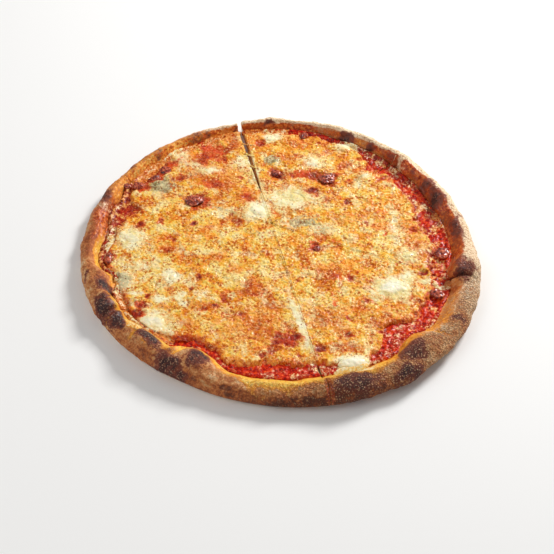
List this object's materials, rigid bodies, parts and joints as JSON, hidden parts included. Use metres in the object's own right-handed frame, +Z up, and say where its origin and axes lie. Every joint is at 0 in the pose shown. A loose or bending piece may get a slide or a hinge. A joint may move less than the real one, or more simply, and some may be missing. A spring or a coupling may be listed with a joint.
{
  "type": "four cheese pizza",
  "caption": "Round baked four cheese pizza with a puffed, charred rim, cut into wedges that lie together in the whole's shape.",
  "frame": {"origin": "middle of the flat underside, at the centre of the pizza's bounding box", "axes": "+Z up through the toppings, +Y to the back of the pizza, the slices' tips meet behind the middle"},
  "size_m": [0.3028, 0.3042, 0.0205],
  "materials": {
    "crust": "baked bread crust, matt with a dusting of flour",
    "sauce": "wet tomato sauce",
    "melted_cheese": "oily melted cheese browned in spots",
    "mozzarella": "half melted white cheese",
    "blister": "dried dome of boiled tomato sauce, dark and shiny",
    "gorgonzola": "half melted blue cheese with grey-green veins"
  },
  "bodies": {
    "root": {"dough_1": "crust", "tomato_sauce_1": "sauce", "melted_cheese_1": "melted_cheese", "dough_2": "crust", "tomato_sauce_2": "sauce", "melted_cheese_2": "melted_cheese", "dough_3": "crust", "tomato_sauce_3": "sauce", "melted_cheese_3": "melted_cheese", "dough_4": "crust", "tomato_sauce_4": "sauce", "melted_cheese_4": "melted_cheese", "dough_5": "crust", "tomato_sauce_5": "sauce", "melted_cheese_5": "melted_cheese", "dough_6": "crust", "tomato_sauce_6": "sauce", "melted_cheese_6": "melted_cheese", "mozzarella_1": "mozzarella", "mozzarella_2": "mozzarella", "mozzarella_3": "mozzarella", "mozzarella_4": "mozzarella", "mozzarella_5": "mozzarella", "mozzarella_6": "mozzarella", "mozzarella_7": "mozzarella", "mozzarella_8": "mozzarella", "mozzarella_9": "mozzarella", "mozzarella_10": "mozzarella", "gorgonzola_1": "gorgonzola", "gorgonzola_2": "gorgonzola", "gorgonzola_3": "gorgonzola", "gorgonzola_4": "gorgonzola", "sauce_blister_1": "blister", "sauce_blister_2": "blister"}
  },
  "joints": []
}
